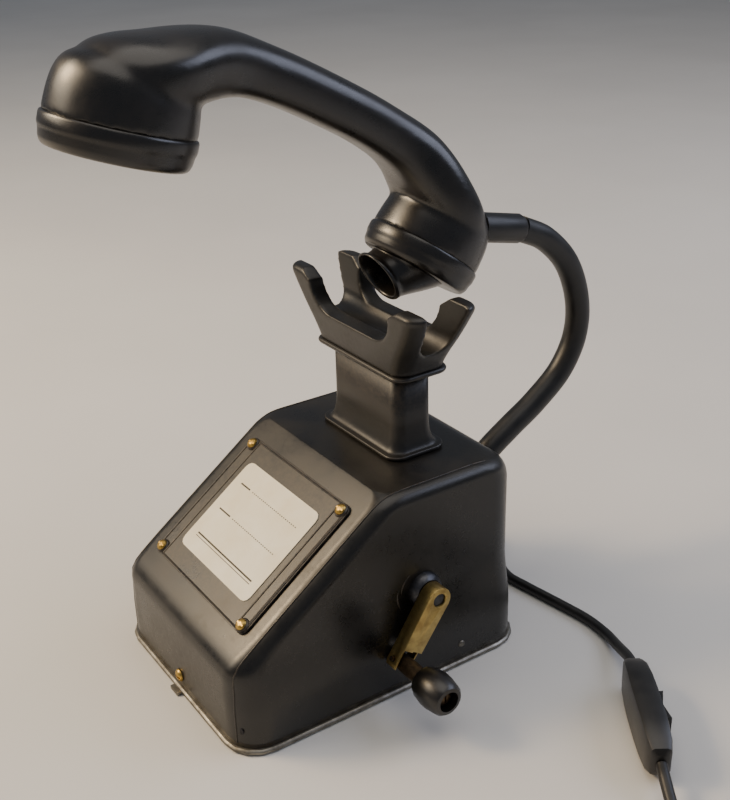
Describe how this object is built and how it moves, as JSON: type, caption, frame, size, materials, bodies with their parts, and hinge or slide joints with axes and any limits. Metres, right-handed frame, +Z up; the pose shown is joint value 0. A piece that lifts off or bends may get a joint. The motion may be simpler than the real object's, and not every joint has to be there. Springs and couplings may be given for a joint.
{
  "type": "crank telephone desk lamp",
  "caption": "Desk telephone with a hand crank and a raised cradle, converted to a lamp: its handset rides on a bendable arm and shines from the earpiece.",
  "frame": {"origin": "centre of the housing's footprint, on the plane that the base plate rests on", "axes": "+Z up; +X to the crank's side; -Y to the front, where the number plate is; +Y to the back, where the bendable arm and the lead leave"},
  "size_m": [0.3677, 0.2954, 0.3166],
  "materials": {
    "arm_sleeve": "satin sleeve",
    "bakelite": "polished phenolic moulding",
    "base_steel": "dull plated",
    "bell_brass": "nickelled bell metal, dull",
    "black_lacquer": "satin, worn at the edges",
    "black_plastic": "moulded, semi-gloss",
    "brass": "aged satin",
    "card_paper": "aged, matte",
    "ceramic": "glazed",
    "copper": "enamelled wire winding",
    "dark_steel": "darkened, lightly oiled",
    "glass": "frosted, warm",
    "lead_rubber": "satin",
    "magnet_iron": "painted dark"
  },
  "bodies": {
    "base": {"base_plate": "base_steel", "housing": "black_lacquer", "number_plate": "black_lacquer", "number_card": "card_paper", "plate_screw_1": "brass", "plate_screw_2": "brass", "plate_screw_3": "brass", "plate_screw_4": "brass", "latch_screw": "brass", "pedestal": "black_lacquer", "return_spring": "dark_steel", "neck_nut": "dark_steel", "neck_root": "arm_sleeve", "crank_bush": "black_lacquer", "magneto_frame": "dark_steel", "magnet_1": "magnet_iron", "magnet_2": "magnet_iron", "ringer_yoke": "dark_steel", "ringer_coil_1": "copper", "ringer_coil_2": "copper", "gong_1": "bell_brass", "gong_2": "bell_brass", "gong_post_1": "dark_steel", "gong_post_2": "dark_steel", "terminal_block": "bakelite", "capacitor": "base_steel", "induction_coil": "copper", "hook_bracket": "dark_steel", "contact_springs": "bakelite", "cord_gland": "lead_rubber", "mains_lead_1": "lead_rubber", "mains_lead_2": "lead_rubber", "cord_coil": "lead_rubber", "plug": "black_plastic", "switch_body": "black_plastic"},
    "fork": {"cradle_fork": "black_lacquer", "hook_plunger": "dark_steel"},
    "hook_blade": {"hook_blade": "brass"},
    "crank": {"crank_shaft": "dark_steel", "crank_arm": "brass", "fold_pin": "dark_steel", "drive_gear": "brass"},
    "handle": {"crank_stem": "copper", "knob_screw": "dark_steel"},
    "knob": {"crank_knob": "bakelite"},
    "armature": {"armature": "copper", "pinion": "dark_steel"},
    "clapper": {"clapper": "dark_steel"},
    "rocker": {"switch_rocker": "black_plastic"},
    "neck_low": {"neck_low": "arm_sleeve"},
    "neck_middle": {"neck_middle": "arm_sleeve"},
    "handset": {"neck_top": "arm_sleeve", "gooseneck_boot": "arm_sleeve", "handset_body": "bakelite", "ear_cap": "bakelite", "lamp_holder": "ceramic", "bulb": "glass", "mouth_cap": "bakelite", "mouthpiece": "bakelite"}
  },
  "joints": [
    {"name": "fork_slide", "type": "slide", "parent": "base", "child": "fork", "axis": [0, 0, -1], "range_m": [0, 0.005], "stiffness_N_per_m": 600, "springref_m": -0.01, "deforming": ["return_spring"]},
    {"name": "blade_hinge", "type": "hinge", "parent": "base", "child": "hook_blade", "pos_m": [0, 0.061, 0.0831], "axis": [1, 0, 0], "range_deg": [0, 15]},
    {"name": "bend_1", "type": "hinge", "parent": "base", "child": "neck_low", "pos_m": [0, 0.15507, 0.10044], "axis": [1, 0, 0], "range_deg": [-25, 2]},
    {"name": "bend_2", "type": "hinge", "parent": "neck_low", "child": "neck_middle", "pos_m": [0, 0.17537, 0.13563], "axis": [1, 0, 0], "range_deg": [-25, 1]},
    {"name": "bend_3", "type": "hinge", "parent": "neck_middle", "child": "handset", "pos_m": [0, 0.15879, 0.17936], "axis": [1, 0, 0], "range_deg": [-25, 1]},
    {"name": "crank_spin", "type": "hinge", "parent": "base", "child": "crank", "pos_m": [0, 0.0224, 0.0515], "axis": [1, 0, 0], "continuous": true},
    {"name": "armature_spin", "type": "hinge", "parent": "base", "child": "armature", "pos_m": [0, -0.004, 0.03725], "axis": [1, 0, 0], "continuous": true},
    {"name": "handle_fold", "type": "hinge", "parent": "crank", "child": "handle", "pos_m": [0.07, 0.00232, 0.02283], "axis": [0, 0.8192, -0.5736], "range_deg": [0, 75]},
    {"name": "knob_spin", "type": "hinge", "parent": "handle", "child": "knob", "pos_m": [0.087, 0.00232, 0.02283], "axis": [1, 0, 0], "continuous": true},
    {"name": "clapper_swing", "type": "hinge", "parent": "base", "child": "clapper", "pos_m": [-0.04, -0.004, 0.0334], "axis": [1, 0, 0], "range_deg": [-3.5, 3.5], "stiffness_Nm_per_rad": 0.02},
    {"name": "rocker_tilt", "type": "hinge", "parent": "base", "child": "rocker", "pos_m": [0.15863, 0.08328, 0.0114], "axis": [0, 0, 1], "range_deg": [-12, 12]}
  ],
  "couplings": [
    {"joint": "blade_hinge", "follows": "fork_slide", "rad_per_m": 51.5},
    {"joint": "armature_spin", "follows": "crank_spin", "ratio": -5}
  ]
}
